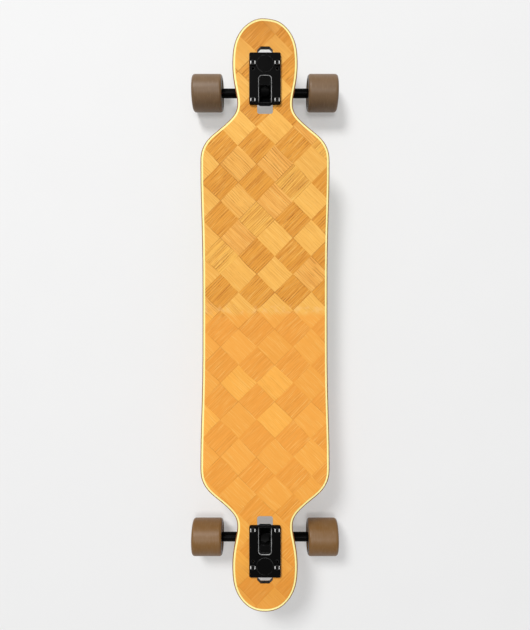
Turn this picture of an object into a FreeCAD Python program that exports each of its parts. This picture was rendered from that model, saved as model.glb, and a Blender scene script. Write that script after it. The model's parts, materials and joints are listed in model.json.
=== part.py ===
import FreeCAD, Part
import math
import os
from types import SimpleNamespace

import Sketcher

# A drop-through longboard: a pressed plywood deck, two reverse-kingpin trucks and four wheels.
# X runs along the board towards the nose, Y to the left, Z up; the floor is at Z = 0.

# Driving sizes in millimetres, and one angle in degrees.
SIZES = {
    # Deck outline; every station along the deck is measured in from its tip
    "deck_length": 1016.0,
    "deck_width": 223.0,
    "waist_width": 218.0,
    "nose_width": 112.0,
    "neck_width": 95.0,
    "nose_station": 66.0,
    "neck_station": 150.0,
    "flare_station": 246.0,
    # Deck section, from the printed bottom veneer to the woven top veneer
    "veneer_thickness": 1.0,
    "pale_ply_thickness": 1.4,
    "core_thickness": 6.8,
    # The rails are rounded by setting each outer ply in from the core's edge
    "veneer_inset": 4.8,
    "pale_ply_inset": 1.6,
    # Pressed shape: flat at the trucks, lower between them, tips turned up
    "blank_margin": 18.5,
    "flat_outer_station": 48.0,
    "flat_inner_station": 168.0,
    "bend_station": 208.0,
    "platform_station": 278.0,
    "tip_bend_length": 60.0,
    "tip_rise": 10.0,
    "rocker_depth": 13.0,
    # Cut-out that a truck drops through
    "cutout_width": 27.0,
    "cutout_outer_reach": 57.0,
    "cutout_inner_reach": 59.0,
    "cutout_chamfer": 6.0,
    "cutout_corner_radius": 4.0,
    # Baseplate
    "truck_station": 103.5,
    "plate_length": 88.0,
    "plate_width": 54.0,
    "plate_thickness": 6.0,
    "plate_corner_radius": 3.0,
    "plate_edge_radius": 0.8,
    "badge_radius": 14.5,
    "badge_height": 0.8,
    "badge_station": 24.5,
    "arm_width": 26.0,
    "arm_reach": 47.0,
    "arm_corner_radius": 6.0,
    "pocket_width": 18.5,
    "pocket_outer_station": 3.0,
    "pocket_shelf_depth": 3.0,
    "pocket_wall": 4.0,
    "pocket_chamfer": 2.2,
    "pocket_corner_radius": 4.0,
    "pocket_head_room": 3.0,
    # Mounting bolts
    "bolt_spacing_along": 63.5,
    "bolt_spacing_across": 41.3,
    "bolt_row_shift": 6.25,
    "spare_hole_step": 9.5,
    "bolt_radius": 2.4,
    "bolt_hole_radius": 2.7,
    "bolt_head_radius": 4.8,
    "bolt_head_height": 3.2,
    "bolt_head_round": 1.2,
    "bolt_socket_across": 4.0,
    "bolt_socket_depth": 1.8,
    "bolt_tip_length": 2.0,
    "bolt_nut_across": 9.5,
    "bolt_nut_height": 5.0,
    # Steering geometry
    "pivot_angle": 50.0,
    "axle_drop": 67.0,
    "axle_setout": 3.5,
    "pivot_offset": 21.0,
    "kingpin_station": 34.0,
    "pivot_station": 6.0,
    # Pivot cup and its housing
    "pivot_radius": 6.5,
    "pivot_clearance": 0.3,
    "cup_outer_radius": 9.0,
    "cup_floor": 1.5,
    "cup_mouth_length": 4.5,
    "housing_radius": 11.5,
    "housing_back_wall": 3.0,
    # Kingpin stack
    "kingpin_radius": 4.76,
    "kingpin_clearance": 0.3,
    "kingpin_boss_length": 14.0,
    "kingpin_head_across": 14.3,
    "kingpin_head_height": 6.0,
    "kingpin_nut_across": 14.3,
    "kingpin_nut_height": 8.5,
    "kingpin_tip_length": 3.0,
    "bushing_radius": 13.0,
    "boardside_bushing_height": 13.0,
    "roadside_bushing_height": 14.0,
    "bushing_waist_cut": 1.0,
    "bushing_cone_cut": 2.5,
    "bushing_washer_radius": 14.0,
    "bushing_washer_thickness": 2.0,
    "bushing_washer_lip": 0.8,
    # Hanger
    "hanger_width": 180.0,
    "hanger_radius": 8.5,
    "hanger_end_radius": 8.0,
    "hanger_end_taper": 14.0,
    "hanger_seat_radius": 6.0,
    "hanger_seat_length": 1.5,
    "ring_radius": 17.0,
    "ring_thickness": 10.0,
    "ring_hole_radius": 8.0,
    "yoke_gap": 1.5,
    "yoke_width": 20.0,
    "yoke_depth": 7.0,
    "yoke_root_width": 28.0,
    "gusset_span": 100.0,
    "gusset_thickness": 10.0,
    # Axle line
    "axle_radius": 4.0,
    "axle_length": 254.0,
    "axle_chamfer": 0.8,
    "fit_clearance": 0.02,
    "speed_washer_radius": 5.6,
    "speed_washer_thickness": 1.0,
    "spacer_length": 10.0,
    "spacer_radius": 5.2,
    "axle_nut_across": 12.7,
    "axle_nut_height": 8.0,
    # Ball bearing
    "bearing_radius": 11.0,
    "bearing_width": 7.0,
    "inner_land_radius": 6.1,
    "inner_groove_radius": 5.6,
    "outer_land_radius": 9.4,
    "outer_groove_radius": 9.9,
    "groove_half_floor": 0.9,
    "groove_half_width": 2.2,
    "ball_radius": 1.98,
    "ball_pitch_radius": 7.75,
    "shield_thickness": 0.4,
    "shield_inset": 0.3,
    "shield_inner_radius": 6.5,
    "cage_thickness": 0.5,
    "cage_offset": 2.1,
    "cage_inner_radius": 6.9,
    "cage_outer_radius": 8.6,
    # Wheel
    "tyre_radius": 33.0,
    "tyre_width": 55.0,
    "tyre_lip_radius": 5.5,
    "tyre_lip_land": 0.6,
    "wheel_station": 105.0,
    "face_rim_radius": 25.2,
    "face_rim_depth": 2.2,
    "face_hub_depth": 5.5,
    "back_rim_radius": 25.2,
    "back_rim_depth": 1.8,
    "back_step_radius": 23.2,
    "back_step_depth": 3.2,
    "core_radius": 15.5,
    "core_inner_radius": 13.2,
    "core_inner_length": 6.0,
    "core_back_depth": 12.5,
    "core_face_depth": 7.2,
    "core_mouth_radius": 14.2,
    "core_shoulder_radius": 9.0,
    # Cutting tools reach this far past what they cut
    "overrun": 5.0,
}

# Deck outline between its named stations: shares of the way along and of the way out.
TIP_SHARES = ((0.90, 0.49), (0.73, 0.725), (0.43, 0.92))
NOSE_SHARES = ((0.39, 0.14), (0.80, 0.88))
FLARE_SHARES = ((0.17, 0.13), (0.32, 0.34), (0.46, 0.60), (0.61, 0.83), (0.77, 0.96))
WAIST_SHARES = ((0.50, 0.75),)

# How much of the hanger tube's radius its yoke stands on.
YOKE_ROOT_SHARE = 0.7
# How much of a bushing's height each shaped end takes.
BUSHING_END_SHARE = 0.25
# An edge is straight up or level when it strays less than this share of its length.
STRAY_SHARE = 0.005
# Two coordinates closer than this count as the same.
SAME_PLACE = 1e-6

BALL_COUNT = 7
HEX_SIDES = 6
OUTLINE_SAMPLES = 96
FULL_TURN = 360.0
HALF_TURN = 180.0
CURVE_DEGREE = 3

X_AXIS = FreeCAD.Vector(1, 0, 0)
Y_AXIS = FreeCAD.Vector(0, 1, 0)
Z_AXIS = FreeCAD.Vector(0, 0, 1)
ENDS = {"front": 1, "rear": -1}
SIDES = {"left": 1, "right": -1}

doc = FreeCAD.newDocument("longboard")
nodes = []


class Length:
    """A length with the sheet expression that gives it."""

    def __init__(self, value, text):
        self.value = value
        self.text = text

    def __add__(self, other):
        return Length(self.value + number(other), f"({self.text} + {text(other)})")

    def __sub__(self, other):
        return Length(self.value - number(other), f"({self.text} - {text(other)})")

    def __mul__(self, other):
        return Length(self.value * number(other), f"({self.text} * {text(other)})")

    def __truediv__(self, other):
        return Length(self.value / number(other), f"({self.text} / {text(other)})")

    def __neg__(self):
        return Length(-self.value, f"(-{self.text})")


def number(item):
    return item.value if isinstance(item, Length) else float(item)


def text(item):
    return item.text if isinstance(item, Length) else f"({float(item)})"


def make_sheet():
    """Write the driving sizes to a sheet and read them back as bound lengths."""
    sheet = doc.addObject("Spreadsheet::Sheet", "sizes")
    for row, (name, value) in enumerate(SIZES.items(), 1):
        sheet.set(f"A{row}", name)
        sheet.set(f"B{row}", str(value))
        sheet.setAlias(f"B{row}", name)
    doc.recompute()
    return SimpleNamespace(**{name: Length(float(sheet.get(name)), f"sizes.{name}") for name in SIZES})


size = make_sheet()
PIVOT_COS = Length(math.cos(math.radians(size.pivot_angle.value)), "cos(sizes.pivot_angle * 1 deg)")
PIVOT_SIN = Length(math.sin(math.radians(size.pivot_angle.value)), "sin(sizes.pivot_angle * 1 deg)")

# Heights and places that follow from the driving sizes.
axle_height = size.tyre_radius
deck_top = axle_height + size.axle_drop
deck_thickness = (size.veneer_thickness + size.pale_ply_thickness) * 2 + size.core_thickness
half_ring = size.ring_thickness / 2
boardside_seat = size.pivot_offset + half_ring + size.boardside_bushing_height
plate_seat = boardside_seat + size.bushing_washer_thickness
head_seat = plate_seat + size.kingpin_boss_length
roadside_seat = size.pivot_offset - half_ring - size.roadside_bushing_height
nut_seat = roadside_seat - size.bushing_washer_thickness
cup_mouth = size.pivot_station + size.cup_mouth_length
cup_inside = size.pivot_station - size.pivot_radius - size.pivot_clearance
cup_back = cup_inside - size.cup_floor
housing_back = cup_back - size.housing_back_wall
hanger_face = size.hanger_width / 2
inner_bearing = hanger_face + size.speed_washer_thickness + size.bearing_width / 2
outer_bearing = inner_bearing + size.bearing_width + size.spacer_length
nut_face = outer_bearing + size.bearing_width / 2 + size.speed_washer_thickness
bolt_rows = [size.bolt_spacing_along / 2 * way - size.bolt_row_shift for way in (1, -1)]
bolt_columns = [size.bolt_spacing_across / 2 * way for way in (1, -1)]
bolt_places = [(along, across) for along in bolt_rows for across in bolt_columns]
spare_places = [(bolt_rows[0] - size.spare_hole_step, across) for across in bolt_columns]
blank_width = size.deck_width + size.blank_margin * 2
blank_floor = deck_top - deck_thickness - size.rocker_depth - size.overrun
blank_reach = deck_thickness + size.rocker_depth + size.tip_rise + size.overrun * 2


def vector(x, y, z):
    return FreeCAD.Vector(number(x), number(y), number(z))


def move(x, y, z, axis=Z_AXIS, angle=0):
    return FreeCAD.Placement(vector(x, y, z), FreeCAD.Rotation(axis, angle))


def turned(end):
    """Angle that turns a truck or wheel made for the plus side to the given side."""
    return 0 if end > 0 else HALF_TURN


def from_middle(station):
    """How far from the board's middle a station of the deck lies."""
    return size.deck_length / 2 - station


def truck_frame(end):
    """On the deck's top under the middle of the baseplate, X towards the board's tip."""
    return move(from_middle(size.truck_station) * end, 0, deck_top, Z_AXIS, turned(end))


def axle_frame(end):
    """At the middle of the axle, X towards the board's tip."""
    return truck_frame(end) * move(size.axle_setout, 0, -size.axle_drop)


def steer_frame(end):
    """At the middle of the axle, X along the steering axis and Z up the kingpin."""
    return axle_frame(end) * move(0, 0, 0, Y_AXIS, -size.pivot_angle.value)


def wheel_frame(end, side):
    """At the wheel's middle, Y out of the printed face."""
    return axle_frame(end) * move(0, size.wheel_station * side * end, 0, Z_AXIS, turned(side * end))


def tilted(along, up):
    """A point of the steering frame, in the truck frame's X and Z."""
    x = size.axle_setout + along * PIVOT_COS - up * PIVOT_SIN
    z = along * PIVOT_SIN + up * PIVOT_COS - size.axle_drop
    return x, z


def publish(label, item, placement):
    """Name a finished sub-part and put it in its place."""
    item.Label = label
    item.Placement = placement
    nodes.append(item)


def pin_point(sketch, kind, axis, index, distance):
    """Fix one coordinate of a line's start, by the sheet unless it lies on the axis."""
    if number(distance) == 0:
        sketch.addConstraint(Sketcher.Constraint("PointOnObject", index, 1, axis))
        return
    constraint = sketch.addConstraint(Sketcher.Constraint(kind, -1, 1, index, 1, number(distance)))
    sketch.setExpression(f"Constraints[{constraint}]", text(distance))


def polygon_sketch(body, role, points):
    """A closed polygon on one of the body's own planes, every corner bound to the sheet."""
    sketch = body.newObject("Sketcher::SketchObject", f"{body.Name}_sketch")
    plane = next(feature for feature in body.Origin.OriginFeatures if feature.Role == role)
    sketch.AttachmentSupport = [(plane, "")]
    sketch.MapMode = "FlatFace"
    corners = [vector(x, y, 0) for x, y in points]
    for start, end in zip(corners, corners[1:] + corners[:1]):
        sketch.addGeometry(Part.LineSegment(start, end))
    for index, (x, y) in enumerate(points):
        sketch.addConstraint(Sketcher.Constraint("Coincident", index, 2, (index + 1) % len(points), 1))
        pin_point(sketch, "DistanceX", -2, index, x)
        pin_point(sketch, "DistanceY", -1, index, y)
    return sketch


def revolved(name, points):
    """A turned piece: corners are (radius, distance along Y)."""
    body = doc.addObject("PartDesign::Body", name)
    sketch = polygon_sketch(body, "XY_Plane", points)
    turn = body.newObject("PartDesign::Revolution", f"{name}_turn")
    turn.Profile = sketch
    turn.ReferenceAxis = (sketch, ["V_Axis"])
    turn.Angle = FULL_TURN
    doc.recompute()
    return body


def padded(name, role, points, thickness):
    """A plate of the given thickness, centred on one of its body's planes."""
    body = doc.addObject("PartDesign::Body", name)
    sketch = polygon_sketch(body, role, points)
    pad = body.newObject("PartDesign::Pad", f"{name}_pad")
    pad.Profile = sketch
    pad.Midplane = True
    pad.setExpression("Length", text(thickness))
    doc.recompute()
    return body


def rounded(body, radius, wanted):
    """Round the edges of a body's last feature that the test picks."""
    base = body.Tip
    names = [f"Edge{index}" for index, edge in enumerate(base.Shape.Edges, 1) if wanted(edge)]
    fillet = body.newObject("PartDesign::Fillet", f"{body.Name}_round{len(body.Group)}")
    fillet.Base = (base, names)
    fillet.setExpression("Radius", text(radius))
    doc.recompute()
    return body


def on_circle(radius, along=None):
    """A test for full circles about Y of the given radius, and place if one is named."""
    def wanted(edge):
        if edge.Curve.TypeId != "Part::GeomCircle":
            return False
        if not same(edge.Curve.Radius, radius):
            return False
        return along is None or same(edge.Curve.Center.y, along)
    return wanted


def same(first, second):
    return math.isclose(number(first), number(second), abs_tol=SAME_PLACE)


def is_upright(edge):
    box = edge.BoundBox
    return box.XLength + box.YLength < box.ZLength * STRAY_SHARE


def cylinder(name, radius, height, placement):
    """A plain round bar that starts at its placement and runs along its Z."""
    bar = doc.addObject("Part::Cylinder", name)
    bar.setExpression("Radius", text(radius))
    bar.setExpression("Height", text(height))
    bar.Placement = placement
    return bar


def hexagon(name, across, height, placement):
    """A hexagonal bar measured across its flats."""
    bar = doc.addObject("Part::Prism", name)
    bar.Polygon = HEX_SIDES
    bar.setExpression("Circumradius", f"{text(across)} / 2 / cos(180 deg / {HEX_SIDES})")
    bar.setExpression("Height", text(height))
    bar.Placement = placement
    return bar


def fuse(name, pieces):
    whole = doc.addObject("Part::MultiFuse", name)
    whole.Shapes = pieces
    doc.recompute()
    return whole


def cut(name, base, tools):
    result = doc.addObject("Part::Cut", name)
    result.Base = base
    result.Tool = tools[0] if len(tools) == 1 else fuse(f"{name}_tools", tools)
    doc.recompute()
    return result


def group(name, pieces):
    """Separate solids that share one node."""
    together = doc.addObject("Part::Compound", name)
    together.Links = pieces
    doc.recompute()
    return together


def along_y(y):
    """A placement that stands a Z-built piece along Y, starting at the given place."""
    return move(0, y, 0, X_AXIS, -HALF_TURN / 2)


# Deck

def between(start, end, share):
    return start + (end - start) * share


def deck_curve():
    """The smooth closed outline, through points of one quarter mirrored both ways."""
    ends = (0, size.nose_station, size.neck_station, size.flare_station, size.deck_length / 2)
    stations = [number(from_middle(item)) for item in ends]
    spans = (0, size.nose_width, size.neck_width, size.deck_width, size.waist_width)
    widths = [number(item) / 2 for item in spans]
    # The tip's shares count from the nose outwards, and its width from the middle.
    quarter = [vector(stations[0], 0, 0)]
    for along, out in TIP_SHARES:
        quarter.append(vector(between(stations[1], stations[0], along), widths[1] * out, 0))
    for index, shares in ((1, NOSE_SHARES), (2, FLARE_SHARES), (3, WAIST_SHARES)):
        quarter.append(vector(stations[index], widths[index], 0))
        for along, out in shares:
            x = between(stations[index], stations[index + 1], along)
            quarter.append(vector(x, between(widths[index], widths[index + 1], out), 0))
    quarter.append(vector(stations[4], widths[4], 0))
    left = quarter + [vector(-point.x, point.y, 0) for point in reversed(quarter[:-1])]
    loop = left + [vector(point.x, -point.y, 0) for point in reversed(left[1:-1])]
    curve = Part.BSplineCurve()
    curve.interpolate(Points=loop, PeriodicFlag=True)
    return curve


def ply_outline(inset):
    """The deck's outline set in by the given distance, as four edges."""
    curve = deck_curve()
    points = []
    for index in range(OUTLINE_SAMPLES):
        place = between(curve.FirstParameter, curve.LastParameter, index / OUTLINE_SAMPLES)
        along = curve.tangent(place)[0]
        points.append(curve.value(place) + vector(-along.y, along.x, 0) * number(inset))
    smooth = Part.BSplineCurve()
    smooth.interpolate(Points=points, PeriodicFlag=True)
    marks = [between(smooth.FirstParameter, smooth.LastParameter, step / 4) for step in range(5)]
    return Part.Wire([smooth.toShape(first, last) for first, last in zip(marks, marks[1:])])


def pressed_sheet():
    """The press's face: flat at the trucks, lower between them and turned up at the tips."""
    bends = (size.platform_station, size.bend_station, size.flat_inner_station, size.flat_outer_station,
             size.flat_outer_station - size.tip_bend_length)
    half_knots = [number(from_middle(item)) for item in bends]
    knots = [-knot for knot in reversed(half_knots)] + [0.0] + half_knots
    repeats = [CURVE_DEGREE + 1] + [1] * (len(knots) - 2) + [CURVE_DEGREE + 1]
    spread = [knot for knot, repeat in zip(knots, repeats) for _ in range(repeat)]
    rows = len(spread) - CURVE_DEGREE - 1
    poles = []
    for row in range(rows):
        station = sum(spread[row + 1:row + 1 + CURVE_DEGREE]) / CURVE_DEGREE
        lift = 0.0
        if row in (0, rows - 1):
            lift = number(size.tip_rise)
        elif abs(row - rows // 2) <= 1:
            lift = -number(size.rocker_depth)
        poles.append(vector(station, -blank_width / 2, lift))
    curve = Part.BSplineCurve()
    curve.buildFromPolesMultsKnots(poles, repeats, knots, False, CURVE_DEGREE)
    return curve.toShape().extrude(vector(0, blank_width, 0))


def pressed_slab(sheet, bottom, top):
    """The blank between two heights above its bottom face."""
    lower = sheet.copy()
    lower.translate(vector(0, 0, deck_top - deck_thickness + bottom))
    return lower.extrude(vector(0, 0, top - bottom))


def cutout_column(end):
    """The slot a truck drops through, with cornered outer end and rounded inner end."""
    half = size.cutout_width / 2
    outer = size.cutout_outer_reach
    inner = -size.cutout_inner_reach
    side = half - size.cutout_chamfer
    shoulder = outer - size.cutout_chamfer
    corners = [(inner, -half), (shoulder, -half), (outer, -side)]
    corners += [(x, -y) for x, y in reversed(corners)]
    points = [vector(x, y, 0) for x, y in corners]
    slot = Part.Face(Part.makePolygon(points + points[:1]))
    column = slot.extrude(vector(0, 0, blank_reach + size.overrun * 2))
    inner_edges = [edge for edge in column.Edges if is_upright(edge) and same(edge.CenterOfMass.x, inner)]
    column = column.makeFillet(number(size.cutout_corner_radius), inner_edges)
    column.Placement = truck_frame(end) * move(0, 0, blank_floor - deck_top - size.overrun)
    return column


def hole_column(end, x, y):
    column = Part.makeCylinder(number(size.bolt_hole_radius), number(blank_reach + size.overrun * 2))
    column.Placement = truck_frame(end) * move(x, y, blank_floor - deck_top - size.overrun)
    return column


def make_deck():
    """Five glued plies pressed to one curve and cut from one blank."""
    sheet = pressed_sheet()
    openings = [cutout_column(end) for end in ENDS.values()]
    openings += [hole_column(end, x, y) for end in ENDS.values() for x, y in bolt_places + spare_places]
    veneer = (size.veneer_thickness, size.veneer_inset)
    pale = (size.pale_ply_thickness, size.pale_ply_inset)
    core = (size.core_thickness, 0)
    plies = {"deck_bottom_veneer": veneer, "deck_lower_ply": pale, "deck_core": core, "deck_upper_ply": pale,
             "deck_top_veneer": veneer}
    bottom = deck_thickness - deck_thickness
    for label, (thickness, inset) in plies.items():
        outline = Part.Face(ply_outline(inset))
        outline.translate(vector(0, 0, blank_floor))
        column = outline.extrude(vector(0, 0, blank_reach)).cut(openings)
        ply = doc.addObject("Part::Feature", label)
        ply.Shape = column.common(pressed_slab(sheet, bottom, bottom + thickness)).Solids[0]
        publish(label, ply, FreeCAD.Placement())
        bottom = bottom + thickness


# Trucks

def rectangle(length, width):
    return [(length / 2 * x, width / 2 * y) for x, y in ((1, 1), (-1, 1), (-1, -1), (1, -1))]


def make_baseplate(name, end):
    """Flange on the deck's top, with an arm through the deck for the kingpin and pivot cup."""
    corners = rectangle(size.plate_length, size.plate_width)
    flange = padded(f"{name}_flange", "XY_Plane", corners, size.plate_thickness)
    rounded(flange, size.plate_corner_radius, is_upright)
    rounded(flange, size.plate_edge_radius, lambda edge: same(edge.BoundBox.ZMin, size.plate_thickness / 2))
    flange.Placement = move(0, 0, size.plate_thickness / 2)
    badge = cylinder(f"{name}_badge", size.badge_radius, size.badge_height,
                     move(size.badge_station, 0, size.plate_thickness))
    middle = size.plate_thickness / 2
    seat_end = tilted(size.kingpin_station + size.bushing_washer_radius, plate_seat)
    profile = [tilted(housing_back, size.pivot_offset), tilted(cup_mouth, size.pivot_offset),
               tilted(cup_mouth, size.pivot_offset + size.housing_radius),
               tilted(size.kingpin_station - size.bushing_washer_radius, plate_seat), seat_end,
               (seat_end[0] + size.pocket_wall, middle), (-size.arm_reach, middle),
               tilted(housing_back, size.pivot_offset + size.housing_radius)]
    arm = padded(f"{name}_arm", "XZ_Plane", profile, size.arm_width)
    rounded(arm, size.arm_corner_radius, is_arm_corner)
    tilt = move(size.axle_setout, 0, -size.axle_drop, Y_AXIS, -size.pivot_angle.value)
    along_pivot = move(0, 0, 0, Y_AXIS, HALF_TURN / 2)
    housing = cylinder(f"{name}_housing", size.housing_radius, cup_mouth - housing_back,
                       tilt * move(housing_back, 0, size.pivot_offset) * along_pivot)
    whole = fuse(f"{name}_whole", [flange, badge, arm, housing])
    cup_bore = cylinder(f"{name}_cup_bore", size.cup_outer_radius, cup_mouth - cup_back + size.overrun,
                        tilt * move(cup_back, 0, size.pivot_offset) * along_pivot)
    kingpin_bore = cylinder(f"{name}_kingpin_bore", size.kingpin_radius + size.fit_clearance,
                            size.kingpin_boss_length + size.overrun * 2,
                            tilt * move(size.kingpin_station, 0, plate_seat - size.overrun))
    head_half = size.kingpin_head_across / 2 + size.pocket_head_room
    above = size.plate_thickness + size.overrun
    pocket_inner = size.pocket_wall - size.plate_length / 2
    pocket_profile = [(size.pocket_outer_station, above),
                      (size.pocket_outer_station, size.plate_thickness - size.pocket_shelf_depth),
                      tilted(size.kingpin_station + head_half, head_seat),
                      tilted(size.kingpin_station - head_half, head_seat),
                      (pocket_inner, -size.plate_thickness), (pocket_inner, above)]
    pocket = padded(f"{name}_pocket", "XZ_Plane", pocket_profile, size.pocket_width)
    rounded(pocket, size.pocket_corner_radius, is_pocket_corner)
    holes = [cylinder(f"{name}_hole{index}", size.bolt_hole_radius, size.plate_thickness + size.overrun * 2,
                      move(x, y, -size.overrun)) for index, (x, y) in enumerate(bolt_places + spare_places)]
    body = cut(f"{name}_body", whole, [cup_bore, kingpin_bore, pocket] + holes)
    chamfer = doc.addObject("Part::Chamfer", f"{name}_chamfer")
    chamfer.Base = body
    chamfer.Edges = [(index, number(size.pocket_chamfer), number(size.pocket_chamfer))
                     for index, edge in enumerate(body.Shape.Edges, 1) if on_pocket_rim(edge)]
    doc.recompute()
    publish(name, chamfer, truck_frame(end))


def is_arm_corner(edge):
    """The two edges down the arm's raked inner end."""
    box = edge.BoundBox
    lengthwise = same(box.YMin, box.YMax) and not same(box.ZMin, box.ZMax)
    return lengthwise and same(box.XMin, -size.arm_reach)


def is_pocket_corner(edge):
    """The two upright edges at the kingpin pocket's outer end."""
    return is_upright(edge) and same(edge.CenterOfMass.x, size.pocket_outer_station)


def on_pocket_rim(edge):
    """The straight edges where the kingpin pocket meets the baseplate's top."""
    box = edge.BoundBox
    on_top = same(box.ZMin, size.plate_thickness) and box.ZLength < box.DiagonalLength * STRAY_SHARE
    inside = max(abs(box.YMin), abs(box.YMax)) < number((size.pocket_width + size.pocket_chamfer) / 2)
    return on_top and inside and edge.Curve.TypeId == "Part::GeomLine"


def make_pivot_cup(name, end):
    """A soft cup that the hanger's pivot turns in."""
    bore = size.pivot_radius + size.pivot_clearance
    depth = cup_mouth - cup_back
    cup = revolved(f"{name}_turned", [(0, 0), (size.cup_outer_radius, 0), (size.cup_outer_radius, depth),
                                      (bore, depth), (bore, size.cup_floor), (0, size.cup_floor)])
    stand = move(0, 0, 0, Z_AXIS, -HALF_TURN / 2)
    publish(name, cup, steer_frame(end) * move(cup_back, 0, size.pivot_offset) * stand)


def make_kingpin(name, end):
    """A bolt through the baseplate, both bushings and the hanger's ring."""
    length = head_seat - nut_seat + size.kingpin_nut_height + size.kingpin_tip_length
    shank = cylinder(f"{name}_shank", size.kingpin_radius, length, move(0, 0, head_seat - length))
    head = hexagon(f"{name}_head", size.kingpin_head_across, size.kingpin_head_height, move(0, 0, head_seat))
    bolt = fuse(f"{name}_bolt", [shank, head])
    publish(name, bolt, steer_frame(end) * move(size.kingpin_station, 0, 0))


def make_nut(name, across, height, bore):
    """A hexagonal nut that starts at its placement and runs along Z."""
    block = hexagon(f"{name}_block", across, height, FreeCAD.Placement())
    hole = cylinder(f"{name}_hole", bore, height + size.overrun * 2, move(0, 0, -size.overrun))
    return cut(f"{name}_nut", block, [hole])


def make_kingpin_nut(name, end):
    bore = size.kingpin_radius + size.fit_clearance
    nut = make_nut(name, size.kingpin_nut_across, size.kingpin_nut_height, bore)
    publish(name, nut, steer_frame(end) * move(size.kingpin_station, 0, nut_seat - size.kingpin_nut_height))


def kingpin_stack(end, up, flip=False):
    """A place on the kingpin for pieces turned about Y, which then points up or down it."""
    tip = -HALF_TURN / 2 if flip else HALF_TURN / 2
    return steer_frame(end) * move(size.kingpin_station, 0, up, X_AXIS, tip)


def make_bushings(name, end):
    """A barrel between baseplate and ring, and a cone between ring and nut."""
    bore = size.kingpin_radius + size.kingpin_clearance
    wide = size.bushing_radius
    tall = size.boardside_bushing_height
    shaped = tall * BUSHING_END_SHARE
    waist = wide - size.bushing_waist_cut
    section = [(bore, 0), (waist, 0), (wide, shaped), (wide, tall - shaped), (waist, tall), (bore, tall)]
    barrel = revolved(f"{name}_boardside_turned", section)
    publish(f"{name}_boardside_bushing", barrel, kingpin_stack(end, size.pivot_offset + half_ring))
    low = size.roadside_bushing_height
    small = wide - size.bushing_cone_cut
    cone = revolved(f"{name}_roadside_turned", [(bore, 0), (wide, 0), (wide, low * BUSHING_END_SHARE),
                                                (small, low), (bore, low)])
    publish(f"{name}_roadside_bushing", cone, kingpin_stack(end, size.pivot_offset - half_ring, flip=True))


def make_bushing_washers(name, end):
    """Cupped washers that hold the outer ends of both bushings."""
    bore = size.kingpin_radius + size.fit_clearance
    edge = size.bushing_washer_radius - size.bushing_washer_lip
    profile = [(bore, 0), (size.bushing_washer_radius, 0),
               (size.bushing_washer_radius, size.bushing_washer_thickness - size.bushing_washer_lip),
               (edge, size.bushing_washer_thickness), (bore, size.bushing_washer_thickness)]
    up = revolved(f"{name}_boardside", profile)
    up.Placement = move(0, 0, boardside_seat, X_AXIS, HALF_TURN / 2)
    down = revolved(f"{name}_roadside", profile)
    down.Placement = move(0, 0, roadside_seat, X_AXIS, -HALF_TURN / 2)
    publish(name, group(f"{name}_pair", [up, down]), steer_frame(end) * move(size.kingpin_station, 0, 0))


def make_hanger(name, end):
    """The cast axle carrier: a tube, a yoke with the bushing ring, and the pivot."""
    seat = hanger_face - size.hanger_seat_length
    taper = seat - size.hanger_end_taper
    half = [(size.hanger_seat_radius, hanger_face), (size.hanger_seat_radius, seat),
            (size.hanger_end_radius, seat), (size.hanger_radius, taper)]
    tube = revolved(f"{name}_tube", [(0, -hanger_face)] + [(radius, -along) for radius, along in half]
                    + half[::-1] + [(0, hanger_face)])
    root = size.hanger_radius * YOKE_ROOT_SHARE
    yoke_near = cup_mouth + size.yoke_gap
    yoke_far = yoke_near + size.yoke_depth
    ring_top = size.pivot_offset + half_ring
    ring_bottom = size.pivot_offset - half_ring
    yoke = padded(f"{name}_yoke", "XZ_Plane",
                  [(0, -root), (0, root), (yoke_near, root), (yoke_near, ring_top), (yoke_far, ring_top),
                   (yoke_far, root), (yoke_near, -root)], size.yoke_width)
    gusset = padded(f"{name}_gusset", "XY_Plane",
                    [(0, -size.gusset_span / 2), (yoke_far, -size.yoke_width / 2),
                     (yoke_far, size.yoke_width / 2), (0, size.gusset_span / 2)], size.gusset_thickness)
    bridge = padded(f"{name}_bridge", "XY_Plane",
                    [(yoke_near, -size.yoke_root_width / 2), (size.kingpin_station, -size.ring_radius),
                     (size.kingpin_station, size.ring_radius), (yoke_near, size.yoke_root_width / 2)],
                    size.ring_thickness)
    bridge.Placement = move(0, 0, size.pivot_offset)
    ring = cylinder(f"{name}_ring", size.ring_radius, size.ring_thickness,
                    move(size.kingpin_station, 0, ring_bottom))
    pivot = cylinder(f"{name}_pivot", size.pivot_radius, yoke_far - size.pivot_station,
                     move(size.pivot_station, 0, size.pivot_offset, Y_AXIS, HALF_TURN / 2))
    tip = doc.addObject("Part::Sphere", f"{name}_tip")
    tip.setExpression("Radius", text(size.pivot_radius))
    tip.Placement = move(size.pivot_station, 0, size.pivot_offset)
    whole = fuse(f"{name}_whole", [tube, yoke, gusset, bridge, ring, pivot, tip])
    axle_bore = cylinder(f"{name}_axle_bore", size.axle_radius + size.fit_clearance,
                         size.hanger_width + size.overrun * 2, along_y(-hanger_face - size.overrun))
    ring_bore = cylinder(f"{name}_ring_bore", size.ring_hole_radius, size.ring_thickness + size.overrun * 2,
                         move(size.kingpin_station, 0, ring_bottom - size.overrun))
    publish(name, cut(f"{name}_casting", whole, [axle_bore, ring_bore]), steer_frame(end))


def make_axle(name, end):
    half = size.axle_length / 2
    shoulder = half - size.axle_chamfer
    small = size.axle_radius - size.axle_chamfer
    axle = revolved(f"{name}_turned", [(0, -half), (small, -half), (size.axle_radius, -shoulder),
                                       (size.axle_radius, shoulder), (small, half), (0, half)])
    publish(name, axle, axle_frame(end))


def axle_rings(name, outer, thickness, places):
    """Plain rings on the axle, each with its middle at one of the given places."""
    bore = size.axle_radius + size.fit_clearance
    half = thickness / 2
    rings = []
    for index, place in enumerate(places):
        ring = revolved(f"{name}_ring{index}", [(bore, -half), (outer, -half), (outer, half), (bore, half)])
        ring.Placement = move(0, place, 0)
        rings.append(ring)
    return rings


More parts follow.
